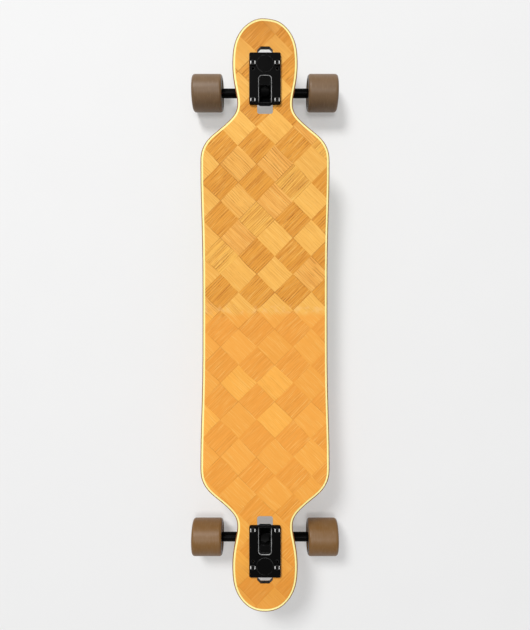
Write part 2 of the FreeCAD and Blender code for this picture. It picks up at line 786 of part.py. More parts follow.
def both_sides(places):
    return [place * side for side in SIDES.values() for place in places]


def make_axle_hardware(name, end):
    """Speed washers, spacers, inner races and nuts, which stay still on the axle."""
    half_washer = size.speed_washer_thickness / 2
    washers = axle_rings(f"{name}_speed_washer", size.speed_washer_radius, size.speed_washer_thickness,
                         both_sides([hanger_face + half_washer, nut_face - half_washer]))
    publish(f"{name}_speed_washers", group(f"{name}_speed_washer_set", washers), axle_frame(end))
    spacers = axle_rings(f"{name}_spacer", size.spacer_radius, size.spacer_length,
                         both_sides([(inner_bearing + outer_bearing) / 2]))
    publish(f"{name}_bearing_spacers", group(f"{name}_spacer_set", spacers), axle_frame(end))
    races = []
    bore = size.axle_radius + size.fit_clearance
    race_section = grooved_race(bore, size.inner_land_radius, size.inner_groove_radius)
    for index, place in enumerate(both_sides([inner_bearing, outer_bearing])):
        race = revolved(f"{name}_inner_race{index}", race_section)
        race.Placement = move(0, place, 0)
        races.append(race)
    publish(f"{name}_inner_races", group(f"{name}_inner_race_set", races), axle_frame(end))
    nuts = []
    for label, side in SIDES.items():
        nut = make_nut(f"{name}_{label}_axle", size.axle_nut_across, size.axle_nut_height, bore)
        nut.Placement = move(0, nut_face * side, 0, X_AXIS, -side * HALF_TURN / 2)
        nuts.append(nut)
    publish(f"{name}_axle_nuts", group(f"{name}_axle_nut_set", nuts), axle_frame(end))


def grooved_race(plain, land, groove):
    """Section of a bearing race with its ball groove on the land side."""
    half = size.bearing_width / 2
    return [(plain, -half), (land, -half), (land, -size.groove_half_width), (groove, -size.groove_half_floor),
            (groove, size.groove_half_floor), (land, size.groove_half_width), (land, half), (plain, half)]


def make_deck_fasteners(name, end):
    """Four socket-head bolts down through the baseplate and deck, each with a nut below."""
    length = size.plate_thickness + deck_thickness + size.bolt_nut_height + size.bolt_tip_length
    head = size.bolt_head_height
    bolts = []
    nuts = []
    for index, (x, y) in enumerate(bolt_places):
        profile = [(0, -length), (size.bolt_radius, -length), (size.bolt_radius, 0),
                   (size.bolt_head_radius, 0), (size.bolt_head_radius, head), (0, head)]
        blank = revolved(f"{name}_bolt{index}_blank", profile)
        rounded(blank, size.bolt_head_round, on_circle(size.bolt_head_radius, head))
        blank.Placement = move(0, 0, 0, X_AXIS, HALF_TURN / 2)
        socket = hexagon(f"{name}_bolt{index}_socket", size.bolt_socket_across, head + size.overrun,
                         move(0, 0, head - size.bolt_socket_depth))
        bolt = cut(f"{name}_bolt{index}", blank, [socket])
        bolt.Placement = move(x, y, size.plate_thickness)
        bolts.append(bolt)
        nut = make_nut(f"{name}_bolt{index}", size.bolt_nut_across, size.bolt_nut_height,
                       size.bolt_radius + size.fit_clearance)
        nut.Placement = move(x, y, -deck_thickness - size.bolt_nut_height)
        nuts.append(nut)
    publish(f"{name}_deck_bolts", group(f"{name}_deck_bolt_set", bolts), truck_frame(end))
    publish(f"{name}_deck_nuts", group(f"{name}_deck_nut_set", nuts), truck_frame(end))


# Wheels

def make_tyre(name, frame):
    """The cast urethane: round lips, a dished printed face and a deep cone behind."""
    half = size.tyre_width / 2
    back_core = size.core_back_depth - half
    neck = back_core + size.core_inner_length
    rim = size.tyre_radius - size.tyre_lip_radius - size.tyre_lip_land
    profile = [(size.core_inner_radius, back_core), (size.back_step_radius, size.back_step_depth - half),
               (size.back_rim_radius, size.back_rim_depth - half), (rim, -half), (size.tyre_radius, -half),
               (size.tyre_radius, half), (rim, half), (size.face_rim_radius, half - size.face_rim_depth),
               (size.core_radius, half - size.face_hub_depth), (size.core_radius, neck),
               (size.core_inner_radius, neck)]
    tyre = revolved(f"{name}_turned", profile)
    rounded(tyre, size.tyre_lip_radius, on_circle(size.tyre_radius))
    publish(name, tyre, frame)


def make_core(name, frame):
    """The hard hub inside the urethane, with a seat for a bearing at each end."""
    half = size.tyre_width / 2
    face = half - size.core_face_depth
    back = size.core_back_depth - half
    neck = back + size.core_inner_length
    seat = size.bearing_radius + size.fit_clearance
    inner_seat = inner_bearing + size.bearing_width / 2 - size.wheel_station
    outer_seat = outer_bearing - size.bearing_width / 2 - size.wheel_station
    outer_face = outer_bearing + size.bearing_width / 2 - size.wheel_station
    core = revolved(f"{name}_turned", [
        (seat, back), (size.core_inner_radius, back), (size.core_inner_radius, neck),
        (size.core_radius, neck), (size.core_radius, face), (size.core_mouth_radius, face),
        (seat, outer_face), (seat, outer_seat), (size.core_shoulder_radius, outer_seat),
        (size.core_shoulder_radius, inner_seat), (seat, inner_seat)])
    publish(name, core, frame)


def make_wheel_bearings(name, frame):
    """Outer races and shields, which turn with the wheel, and the balls with their cages."""
    middles = [inner_bearing - size.wheel_station, outer_bearing - size.wheel_station]
    races = []
    shields = []
    balls = []
    cages = []
    shield_half = size.shield_thickness / 2
    cage_half = size.cage_thickness / 2
    shield_radii = (size.shield_inner_radius, size.outer_land_radius)
    cage_radii = (size.cage_inner_radius, size.cage_outer_radius)
    race_section = grooved_race(size.bearing_radius, size.outer_land_radius, size.outer_groove_radius)
    for index, middle in enumerate(middles):
        race = revolved(f"{name}_outer_race{index}", race_section)
        race.Placement = move(0, middle, 0)
        races.append(race)
        for side in SIDES.values():
            place = middle + (size.bearing_width / 2 - size.shield_inset - shield_half) * side
            shield = flat_ring(f"{name}_shield{len(shields)}", *shield_radii, shield_half)
            shield.Placement = move(0, place, 0)
            shields.append(shield)
            cage = flat_ring(f"{name}_cage{len(cages)}", *cage_radii, cage_half)
            cage.Placement = move(0, middle + (size.cage_offset + cage_half) * side, 0)
            cages.append(cage)
        for turn in range(BALL_COUNT):
            angle = 2 * math.pi * turn / BALL_COUNT
            ball = doc.addObject("Part::Sphere", f"{name}_ball{len(balls)}")
            ball.setExpression("Radius", text(size.ball_radius))
            ball.Placement = move(size.ball_pitch_radius * math.cos(angle), middle,
                                  size.ball_pitch_radius * math.sin(angle))
            balls.append(ball)
    publish(f"{name}_outer_races", group(f"{name}_outer_race_set", races), frame)
    publish(f"{name}_shields", group(f"{name}_shield_set", shields), frame)
    publish(f"{name}_balls", group(f"{name}_ball_set", balls), frame)
    publish(f"{name}_ball_cages", group(f"{name}_cage_set", cages), frame)


def flat_ring(name, inner, outer, half):
    return revolved(name, [(inner, -half), (outer, -half), (outer, half), (inner, half)])


def make_truck(name, end):
    make_baseplate(f"{name}_baseplate", end)
    make_pivot_cup(f"{name}_pivot_cup", end)
    make_kingpin(f"{name}_kingpin", end)
    make_kingpin_nut(f"{name}_kingpin_nut", end)
    make_bushings(name, end)
    make_bushing_washers(f"{name}_bushing_washers", end)
    make_hanger(f"{name}_hanger", end)
    make_axle(f"{name}_axle", end)
    make_axle_hardware(name, end)
    make_deck_fasteners(name, end)


def make_wheel(name, end, side):
    frame = wheel_frame(end, side)
    make_tyre(f"{name}_tyre", frame)
    make_core(f"{name}_core", frame)
    make_wheel_bearings(name, frame)


def check_and_write():
    """Stop on any failed object, then write each sub-part to its own file."""
    doc.recompute()
    failed = [item.Label for item in doc.Objects if "Invalid" in item.State or "Error" in item.State]
    faulty = [item.Label for item in nodes if item.Shape.isNull() or not item.Shape.isValid()]
    if failed or faulty:
        raise RuntimeError(f"failed objects: {failed}, faulty shapes: {faulty}")
    os.makedirs("parts", exist_ok=True)
    for item in nodes:
        item.Shape.exportStep(f"parts/{item.Label}.step")
        print(f"{item.Label}: {len(item.Shape.Solids)} solids, {item.Shape.Volume:.0f} mm3")


make_deck()
for end_name, end_sign in ENDS.items():
    make_truck(end_name, end_sign)
    for side_name, side_sign in SIDES.items():
        make_wheel(f"{end_name}_{side_name}", end_sign, side_sign)
check_and_write()
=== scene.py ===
import json
import math

import bpy
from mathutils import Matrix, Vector


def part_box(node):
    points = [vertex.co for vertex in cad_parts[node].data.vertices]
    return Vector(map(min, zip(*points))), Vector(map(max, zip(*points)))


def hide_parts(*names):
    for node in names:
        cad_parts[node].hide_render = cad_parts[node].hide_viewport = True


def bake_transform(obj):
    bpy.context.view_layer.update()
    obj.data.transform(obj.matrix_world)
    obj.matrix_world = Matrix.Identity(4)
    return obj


# The finish of a drop-through longboard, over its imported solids.
# Metres: X to the nose, Y to the left, Z up.
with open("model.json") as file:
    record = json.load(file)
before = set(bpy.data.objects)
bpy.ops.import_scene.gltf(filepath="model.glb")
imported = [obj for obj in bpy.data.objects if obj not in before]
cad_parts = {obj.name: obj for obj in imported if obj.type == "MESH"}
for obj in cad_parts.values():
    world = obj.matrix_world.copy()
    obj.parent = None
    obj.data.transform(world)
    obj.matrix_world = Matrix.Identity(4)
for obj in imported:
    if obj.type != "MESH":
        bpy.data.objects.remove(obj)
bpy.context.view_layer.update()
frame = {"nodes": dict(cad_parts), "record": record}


def middle_of(node):
    low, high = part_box(node)
    return (low + high) / 2


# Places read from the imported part
AXLE = middle_of("front_axle")
WHEEL = middle_of("front_left_tyre")
TYRE_LOW, TYRE_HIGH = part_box("front_left_tyre")
TYRE_RADIUS = (TYRE_HIGH.z - TYRE_LOW.z) / 2
TYRE_HALF_WIDTH = (TYRE_HIGH.y - TYRE_LOW.y) / 2
PLATE = middle_of("front_baseplate")
PLATE_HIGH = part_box("front_baseplate")[1]
PLATE_REACH = PLATE_HIGH - PLATE
BOLT_LOW, BOLT_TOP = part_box("front_deck_bolts")

# The picture: seen from straight above the middle of the board, nose up
CAMERA_HEIGHT = 1.030
LENS = 30.94
SENSOR = 36.0
NOSE_UP = math.radians(-90.0)

# The lamps: their places, the sides of their squares and their power in watts
KEY_PLACE = (5.3, 3.0, 7.7)
KEY_SIZE = 2.6
KEY_POWER = 655.0
OVERHEAD_PLACE = (0.0, 0.0, 10.0)
OVERHEAD_SIZE = 2.4
OVERHEAD_POWER = 246.0

# The pale room: how strongly it lights the board, and how bright it looks
ROOM_LIGHT = 0.25
ROOM_SEEN = 0.87

# The floor, and how much of its colour shows in full, near the board and far away
FLOOR_HALF = 8.0
FLOOR_GLOW = 0.34
FAR_GLOW = 1.0
BACKDROP_START = 0.75
BACKDROP_END = 2.0

# Squares of the woven veneer
SQUARE_DIAGONAL = 0.0632
SQUARE_CORNER = Vector((0.0077, 0.0145))
# How far the squares' edges wander
SWAY_X = 0.004
SWAY_Y = 0.003
# The one row of squares whose darker ones are paler than elsewhere
PALE_ROW = 2.0
STRIPS_PER_SQUARE = 11.0
# Where the veneer turns from the paler front half to the more orange rear half
FADE_START = 0.010
FADE_END = -0.005
FADE_WANDER = 0.022
# The pale haze along that turn: its half width, and where it is full
HAZE_HALF = 0.011
HAZE_FULL = 0.002
# Distance from the middle at which the veneer starts to darken, and at which it is darkest
TIP_START = 0.4
TIP_END = 0.5

# Slots that the trucks drop through, about the middle of each baseplate
SLOT_WIDTH = 0.027
SLOT_LENGTH = 0.116
SLOT_MARGIN = 0.0015

# Where the underside's print ends towards the tail: a slanted, wavy edge with a pale border
PRINT_END = -0.115
PRINT_SLANT = 0.2
WAVE_HEIGHT = 0.022
WAVE_RATE = 26.0
BORDER_MIDDLE = 0.003
BORDER_HALF = 0.0034
PRINT_BLUR = 0.0003
BARE_STRIP_WIDTH = 0.012

# Depth under the tyre's outer face, tread and inner face at which their finish sets in, and is full
FACE_DEPTH = 0.012
FACE_FULL = 0.009
TREAD_DEPTH = 0.003
TREAD_FULL = 0.001
# On the inner face that finish is a painted shade
INNER_DEPTH = 0.002

# Rings printed on the wheel's outer face, with blocks between them and short ticks inside the larger one
RING_RADII = (0.0163, 0.0243)
RING_HALF_WIDTH = 0.00045
RING_BLOCKS = 16.0
BLOCK_LOW = RING_RADII[0] + 0.0022
BLOCK_HIGH = RING_RADII[1] - 0.003
RING_TICKS = 72.0
TICK_LENGTH = 0.0022

# The painted highlight round the pocket in each baseplate: its depth below the top, how far it looks up,
# and where it fades out inwards
RIM_DEPTH = 0.0017
RIM_RISE = math.sqrt(0.5)
RIM_FADE = 0.007

BUSHING_HALF_HEIGHT = 0.0065

# Heads of the deck bolts, and the painted highlight: a bright strip down each side of a head
BOLT_HEAD_RADIUS = 0.0048
BOLT_HEAD_HEIGHT = 0.0032
GLINT_PLACE = BOLT_HEAD_RADIUS * 0.74
GLINT_HALF_WIDTH = 0.0008
GLINT_HALF_LENGTH = 0.0032

# Rays with which a shader feels for edges
EDGE_SAMPLES = 6

# Any two numbers, to keep random draws apart
MOOD_KEY = 7.0
BLOCK_KEY = 3.0


def tone(red, green, blue):
    """A colour as a screen shows it, from 0 to 255, turned into the linear colour that shaders take."""
    shares = [part / 255 for part in (red, green, blue)]
    linear = [share / 12.92 if share <= 0.04045 else ((share + 0.055) / 1.055) ** 2.4 for share in shares]
    return (*linear, 1.0)


class Field:
    """A value that varies over a surface, with plain arithmetic."""

    def __init__(self, paint, socket):
        self.paint = paint
        self.socket = socket

    def __add__(self, other):
        return self.paint.calculate("ADD", self, other)

    def __sub__(self, other):
        return self.paint.calculate("SUBTRACT", self, other)

    def __rsub__(self, other):
        return self.paint.calculate("SUBTRACT", other, self)

    def __mul__(self, other):
        return self.paint.calculate("MULTIPLY", self, other)

    def __truediv__(self, other):
        return self.paint.calculate("DIVIDE", self, other)

    def __mod__(self, other):
        return self.paint.calculate("FLOORED_MODULO", self, other)

    def __lt__(self, other):
        return self.paint.calculate("LESS_THAN", self, other)

    def __gt__(self, other):
        return self.paint.calculate("GREATER_THAN", self, other)

    def __abs__(self):
        return self.paint.calculate("ABSOLUTE", self)


class Paint:
    """One material, with short calls for the nodes that it is made of."""

    def __init__(self, name):
        self.material = bpy.data.materials.new(name)
        self.material.use_nodes = True
        self.nodes = self.material.node_tree.nodes
        self.links = self.material.node_tree.links
        self.surface = self.nodes["Principled BSDF"]
        self.place = Field(self, self.nodes.new("ShaderNodeTexCoord").outputs["Object"])
        self.x, self.y, self.z = self.split(self.place)

    def feed(self, socket, value):
        if isinstance(value, Field):
            self.links.new(value.socket, socket)
        else:
            socket.default_value = value

    def calculate(self, operation, *values):
        node = self.nodes.new("ShaderNodeMath")
        node.operation = operation
        for socket, value in zip(node.inputs, values):
            self.feed(socket, value)
        return Field(self, node.outputs[0])

    def larger(self, first, second):
        return self.calculate("MAXIMUM", first, second)

    def whole(self, value):
        return self.calculate("FLOOR", value)

    def reach(self, x, y):
        """The straight distance that two sides at right angles make."""
        return self.calculate("SQRT", x * x + y * y)

    def split(self, vector):
        node = self.nodes.new("ShaderNodeSeparateXYZ")
        self.feed(node.inputs[0], vector)
        return [Field(self, output) for output in node.outputs]

    def vector(self, x, y, z):
        node = self.nodes.new("ShaderNodeCombineXYZ")
        for socket, value in zip(node.inputs, (x, y, z)):
            self.feed(socket, value)
        return Field(self, node.outputs[0])

    def smooth(self, value, low, high):
        """0 up to low, 1 from high, and an even step between them; high may be the lower one."""
        node = self.nodes.new("ShaderNodeMapRange")
        node.interpolation_type = "SMOOTHSTEP"
        self.feed(node.inputs["Value"], value)
        self.feed(node.inputs["From Min"], low)
        self.feed(node.inputs["From Max"], high)
        return Field(self, node.outputs["Result"])

    def ease(self, share, first, second):
        """The first number where share is 0, the second where it is 1."""
        node = self.nodes.new("ShaderNodeMix")
        self.feed(node.inputs["Factor"], share)
        self.feed(node.inputs["A"], first)
        self.feed(node.inputs["B"], second)
        return Field(self, node.outputs["Result"])

    def mix(self, share, first, second):
        """The first colour where share is 0, the second where it is 1."""
        node = self.nodes.new("ShaderNodeMix")
        node.data_type = "RGBA"
        ends = [socket for socket in node.inputs if socket.type == "RGBA"]
        self.feed(node.inputs["Factor"], share)
        self.feed(ends[0], first)
        self.feed(ends[1], second)
        return Field(self, next(socket for socket in node.outputs if socket.type == "RGBA"))

    def noise(self, place, scale=1.0, detail=2.0):
        """Soft random clouds from 0 to 1."""
        node = self.nodes.new("ShaderNodeTexNoise")
        self.feed(node.inputs["Vector"], place)
        self.feed(node.inputs["Scale"], scale)
        self.feed(node.inputs["Detail"], detail)
        return Field(self, node.outputs[0])

    def random(self, place):
        """One even random number for each distinct place."""
        node = self.nodes.new("ShaderNodeTexWhiteNoise")
        self.feed(node.inputs["Vector"], place)
        return Field(self, node.outputs["Value"])

    def cells(self, place, scale):
        """Scattered cells: the offset from each cell's own point, and three random numbers of the cell."""
        node = self.nodes.new("ShaderNodeTexVoronoi")
        node.voronoi_dimensions = "2D"
        self.feed(node.inputs["Vector"], place)
        self.feed(node.inputs["Scale"], scale)
        here = self.split(place)
        point = self.split(Field(self, node.outputs["Position"]))
        return here[0] - point[0], here[1] - point[1], self.split(Field(self, node.outputs["Color"]))

    def rise(self):
        """How far each flat face looks up: 1 on level faces and 0 on walls."""
        return self.split(Field(self, self.nodes.new("ShaderNodeNewGeometry").outputs["True Normal"]))[2]

    def rounded(self, radius):
        """The way the surface faces, with its sharp edges softened to this radius."""
        node = self.nodes.new("ShaderNodeBevel")
        node.samples = EDGE_SAMPLES
        node.inputs["Radius"].default_value = radius
        return Field(self, node.outputs[0])

    def edges(self, radius):
        """1 on sharp edges and 0 on open faces."""
        flat = self.nodes.new("ShaderNodeNewGeometry")
        likeness = self.nodes.new("ShaderNodeVectorMath")
        likeness.operation = "DOT_PRODUCT"
        self.feed(likeness.inputs[0], self.rounded(radius))
        self.links.new(flat.outputs["Normal"], likeness.inputs[1])
        return self.smooth(Field(self, likeness.outputs["Value"]), 0.995, 0.8)

    def glow(self, colour, share):
        """Show the camera and reflections this share of the plain colour, which keeps its shadows light."""
        rays = self.nodes.new("ShaderNodeLightPath").outputs
        camera = Field(self, rays["Is Camera Ray"])
        mirror = Field(self, rays["Is Glossy Ray"])
        glass = Field(self, rays["Is Transmission Ray"])
        seen = self.larger(self.larger(camera, mirror), glass)
        plain = self.nodes.new("ShaderNodeEmission")
        self.feed(plain.inputs["Color"], colour)
        blend = self.nodes.new("ShaderNodeMixShader")
        self.feed(blend.inputs["Fac"], seen * share)
        self.links.new(self.surface.outputs[0], blend.inputs[1])
        self.links.new(plain.outputs[0], blend.inputs[2])
        self.links.new(blend.outputs[0], self.nodes["Material Output"].inputs["Surface"])

    def finish(self, colour, roughness, height=None, depth=None, edge=None, **constants):
        """Join colour, roughness, relief and edge rounding to the surface, and set its constants."""
        self.feed(self.surface.inputs["Base Color"], colour)
        self.feed(self.surface.inputs["Roughness"], roughness)
        for name, value in constants.items():
            self.surface.inputs[name.replace("_", " ")].default_value = value
        normal = None
        if edge is not None:
            normal = self.rounded(edge)
        if height is not None:
            bump = self.nodes.new("ShaderNodeBump")
            bump.inputs["Distance"].default_value = depth
            self.feed(bump.inputs["Height"], height)
            if normal is not None:
                self.feed(bump.inputs["Normal"], normal)
            normal = Field(self, bump.outputs[0])
        if normal is not None:
            self.feed(self.surface.inputs["Normal"], normal)
        return self.material


def square_grid(paint):
    """Places counted in squares along the board's two diagonals, wandering a little."""
    sway = paint.noise(paint.place, scale=22.0) - 0.5
    along_x = (paint.x - SQUARE_CORNER.x + sway * SWAY_X) / SQUARE_DIAGONAL
    along_y = (paint.y - SQUARE_CORNER.y - sway * SWAY_Y) / SQUARE_DIAGONAL
    return along_x + along_y, along_x - along_y


def strip_lanes(paint, row, column, own, along, across, streaks):
    """The strips in each square: a random shade for each, and the broken dark gaps between them."""
    strip = across * STRIPS_PER_SQUARE + (streaks - 0.5) * 0.5
    lane = paint.whole(strip)
    shade = paint.random(paint.vector(lane, row, column))
    chance = paint.random(paint.vector(lane, column, row))
    breaks = paint.noise(paint.vector(along * 2.5, lane * 3.7, own * 50.0), detail=1.0)
    broken = paint.smooth(breaks, 0.4, 0.55)
    gap = paint.smooth(abs((strip % 1.0) - 0.5), 0.36, 0.46) * paint.smooth(chance, 0.3, 0.8) * broken
    return shade, gap


def square_colours(paint, row, odd, bold, rear):
    """The plain colour of each square: dark and light ones that differ more in the front half."""
    pale = abs(row - PALE_ROW) < 0.5
    dark = paint.mix(pale, tone(234, 163, 62), tone(250, 192, 90))
    light = paint.mix(bold * 0.5, tone(250, 190, 92), tone(245, 174, 86))
    front_colour = paint.mix(odd, dark, light)
    rear_light = paint.mix(bold, tone(246, 170, 73), tone(253, 181, 79))
    rear_colour = paint.mix(odd, tone(241, 161, 65), rear_light)
    return paint.mix(rear, front_colour, rear_colour)


def veneer_shades(paint, colour):
    """Shades over the whole veneer: a pale haze at the turn, dark tips, and painted shade, near black,
    under the plates.
    """
    band = paint.smooth(abs(paint.x - FADE_START), HAZE_HALF, HAZE_FULL)
    bloom = paint.smooth(paint.noise(paint.place, scale=95.0, detail=3.0), 0.44, 0.66)
    colour = paint.mix(band * bloom * 0.35, colour, tone(248, 200, 134))
    tips = paint.smooth(abs(paint.x), TIP_START, TIP_END)
    colour = paint.mix(tips * 0.4, colour, tone(200, 124, 44))
    # Painted shade: veneer under the baseplates, seen through their spare holes, darkened nearly to black
    under_plate_shade = (abs(paint.x) > BOLT_LOW.x) * (abs(paint.x) < BOLT_TOP.x) * (abs(paint.y) < BOLT_TOP.y)
    return paint.mix(under_plate_shade, colour, tone(14, 9, 5))


def woven_veneer():
    """Bamboo strips in diagonal squares; every other square is darker and its strips run the other way."""
    paint = Paint("woven_veneer")
    u, v = square_grid(paint)
    row = paint.whole(u)
    column = paint.whole(v)
    odd = (row + column) % 2.0
    own = paint.random(paint.vector(row, column, 0.0))
    mood = paint.random(paint.vector(paint.ease(odd, row, column), odd, MOOD_KEY))
    along = paint.ease(odd, v, u)
    across = paint.ease(odd, u, v)
    streaks = paint.noise(paint.vector(along * 0.6, across * 30.0, own * 90.0), detail=3.0)
    fibres = paint.noise(paint.vector(along * 1.3, across * 56.0, own * 40.0), detail=1.0)
    shade, gap = strip_lanes(paint, row, column, own, along, across, streaks)
    drift = paint.noise(paint.place, scale=60.0, detail=4.0)
    rear = paint.smooth(paint.x + (drift - 0.5) * FADE_WANDER, FADE_START, FADE_END)
    bold = paint.smooth(own, 0.6, 0.9)
    contrast = paint.ease(odd, 1.0, paint.ease(bold, 0.35, 0.85)) * paint.ease(rear, 1.0, 0.26)

    colour = square_colours(paint, row, odd, bold, rear)
    colour = paint.mix(mood * 0.2, colour, tone(222, 146, 50))
    colour = paint.mix(shade * contrast * 0.3, colour, tone(206, 128, 42))
    colour = paint.mix(paint.smooth(streaks, 0.5, 0.62) * contrast * 0.5, colour, tone(196, 118, 38))
    colour = paint.mix(gap * contrast * 0.95, colour, tone(150, 82, 22))
    colour = paint.mix(paint.smooth(fibres, 0.44, 0.28) * 0.45, colour, tone(255, 212, 124))
    colour = paint.mix(paint.smooth(fibres, 0.56, 0.7) * contrast * 0.55, colour, tone(176, 102, 30))
    seam = paint.smooth(paint.larger(abs((u % 1.0) - 0.5), abs((v % 1.0) - 0.5)), 0.48, 0.496)
    stain = paint.smooth(paint.noise(paint.place, scale=26.0, detail=1.0), 0.46, 0.62)
    colour = paint.mix(seam * stain * paint.ease(rear, 0.5, 0.25), colour, tone(150, 84, 26))
    colour = veneer_shades(paint, colour)
    roughness = paint.ease(streaks, 0.42, 0.54)
    relief = fibres - seam - gap
    return paint.finish(colour, roughness, height=relief, depth=0.00012, Specular_IOR_Level=0.12)


def ply(name, light, dark, top_edge):
    """Wood ply seen at its edge: fine lines along the board, and walls in slots and holes darkened as
    painted shade.
    """
    paint = Paint(name)
    lines = paint.noise(paint.vector(paint.x * 14.0, paint.y * 160.0, paint.z * 1400.0), detail=3.0)
    pores = paint.noise(paint.vector(paint.x * 60.0, paint.y * 600.0, paint.z * 600.0))
    colour = paint.mix(paint.smooth(lines, 0.35, 0.7), light, dark)
    colour = paint.mix(paint.smooth(pores, 0.62, 0.75) * 0.4, colour, tone(120, 70, 30))
    colour = paint.mix(paint.smooth(paint.rise(), 0.5, 0.9), colour, top_edge)
    # Painted shade: walls in the slots and in the bolt holes under the plates darkened nearly to black
    beside = abs(abs(paint.x) - PLATE.x)
    slot = (beside < SLOT_LENGTH / 2 + SLOT_MARGIN) * (abs(paint.y) < SLOT_WIDTH / 2 + SLOT_MARGIN)
    holes = (beside < PLATE_REACH.x) * (abs(paint.y) < PLATE_REACH.y)
    colour = paint.mix(paint.larger(slot, holes), colour, tone(10, 6, 4))
    roughness = paint.ease(lines, 0.34, 0.46)
    return paint.finish(colour, roughness, height=lines, depth=0.0002, edge=0.0008, Specular_IOR_Level=0.2)


def leaf_layer(paint, place, scale, length, width):
    """Scattered pointed leaves: where they are, their ribs, and a random number for each."""
    dx, dy, chances = paint.cells(place, scale)
    turn = chances[0] * math.tau
    cosine = paint.calculate("COSINE", turn)
    sine = paint.calculate("SINE", turn)
    along = dx * cosine + dy * sine
    aside = abs(dy * cosine - dx * sine)
    reach = along / length
    inside = (1.0 - reach * reach) * width - aside
    leaf = paint.smooth(inside, 0.0, 0.0004)
    veins = 9.0
    slant = 0.9
    vein = abs(((along + aside * slant) * (veins / length) % 1.0) - 0.5)
    midrib = paint.smooth(aside, 0.0007, 0.0003)
    rib = paint.larger(midrib, paint.smooth(vein, 0.4, 0.49) * 0.5)
    return leaf, rib, chances[1]


def flower_layer(paint, place, scale, radius, petals):
    """Scattered flowers with round petals: where they are, their middles, and a random number for each."""
    dx, dy, chances = paint.cells(place, scale)
    angle = paint.calculate("ARCTAN2", dy, dx) + chances[0] * math.tau
    ripple = abs(paint.calculate("COSINE", angle * (petals / 2)))
    distance = paint.reach(dx, dy)
    outline = (ripple * 0.45 + 0.55) * radius
    flower = paint.smooth(distance - outline, PRINT_BLUR, -PRINT_BLUR) * (chances[2] > 0.45)
    heart = paint.smooth(distance, radius * 0.28, radius * 0.2)
    return flower, heart, chances[1]


def garden_print(paint):
    """A made-up print: leaves in three layers and flowers in two, over a mottled green."""
    shade = paint.noise(paint.place, scale=45.0, detail=3.0)
    colour = paint.mix(paint.smooth(shade, 0.4, 0.6), tone(34, 96, 62), tone(70, 140, 58))
    leaves = ((24.0, 0.034, 0.011, tone(120, 172, 52), tone(44, 132, 96)),
              (31.0, 0.026, 0.008, tone(190, 200, 60), tone(24, 84, 66)),
              (43.0, 0.019, 0.0055, tone(226, 120, 52), tone(96, 156, 62)))
    layer_shift = 0.37
    for index, (scale, length, width, first, second) in enumerate(leaves):
        place = paint.vector(paint.x + index * layer_shift, paint.y, 0.0)
        leaf, rib, chance = leaf_layer(paint, place, scale, length, width)
        fill = paint.mix(chance, first, second)
        fill = paint.mix(rib * 0.7, fill, tone(236, 232, 190))
        colour = paint.mix(leaf, colour, fill)
    flowers = ((19.0, 0.017, 5, tone(240, 132, 56), tone(236, 84, 124)),
               (37.0, 0.008, 6, tone(250, 236, 210), tone(248, 200, 70)))
    for scale, radius, petals, first, second in flowers:
        place = paint.vector(paint.x, paint.y, 0.0)
        flower, heart, chance = flower_layer(paint, place, scale, radius, petals)
        fill = paint.mix(paint.smooth(chance, 0.45, 0.55), first, second)
        fill = paint.mix(heart, fill, tone(250, 214, 80))
        colour = paint.mix(flower, colour, fill)
    return colour


def bare_wood(paint, grain):
    """Pale strips along the board, with darker grain."""
    strips = paint.random(paint.vector(paint.whole(paint.y / BARE_STRIP_WIDTH), 0.0, 0.0))
    wood = paint.mix(strips, tone(232, 176, 92), tone(218, 156, 72))
    return paint.mix(paint.smooth(grain, 0.5, 0.72) * 0.6, wood, tone(178, 112, 46))


def printed_veneer():
    """Underside: a print of leaves and flowers towards the nose, bare wood towards the tail."""
    paint = Paint("printed_veneer")
    grain = paint.noise(paint.vector(paint.x * 5.0, paint.y * 150.0, 0.0), detail=3.0)
    wave = paint.calculate("SINE", paint.y * WAVE_RATE) * WAVE_HEIGHT
    limit = paint.x - paint.y * PRINT_SLANT - wave - PRINT_END
    printed = paint.smooth(limit, -PRINT_BLUR, PRINT_BLUR)
    border = paint.smooth(abs(limit - BORDER_MIDDLE), BORDER_HALF, BORDER_HALF - 2 * PRINT_BLUR)
    colour = paint.mix(printed, bare_wood(paint, grain), garden_print(paint))
    colour = paint.mix(border, colour, tone(244, 240, 226))
    roughness = paint.ease(grain, 0.28, 0.4)
    return paint.finish(colour, roughness, height=grain, depth=0.0001, edge=0.0008,
                        Coat_Weight=0.3, Coat_Roughness=0.12)


def wheel_print(paint, colour, radius, turn, face):
    """Two thin circles on the outer face, with blocks between them and ticks inside the larger one."""
    low, high = RING_RADII
    between = (radius > low) * (radius < high)
    colour = paint.mix(face * between * 0.5, colour, tone(100, 77, 62))
    for ring in RING_RADII:
        line = paint.smooth(abs(radius - ring), RING_HALF_WIDTH * 1.3, RING_HALF_WIDTH)
        colour = paint.mix(line * face, colour, tone(232, 222, 190))
    sector = turn * RING_BLOCKS
    chance = paint.random(paint.vector(paint.whole(sector), BLOCK_KEY, 0.0))
    in_block = paint.smooth(abs((sector % 1.0) - 0.5), 0.4, 0.38) * (chance > 0.35)
    block = in_block * (radius > BLOCK_LOW) * (radius < BLOCK_HIGH)
    colour = paint.mix(block * face * 0.8, colour, tone(222, 206, 172))
    tick = paint.smooth(abs((turn * RING_TICKS % 1.0) - 0.5), 0.2, 0.16)
    tick = tick * (radius > high - TICK_LENGTH) * (radius < high)
    return paint.mix(tick * face * 0.8, colour, tone(52, 40, 34))


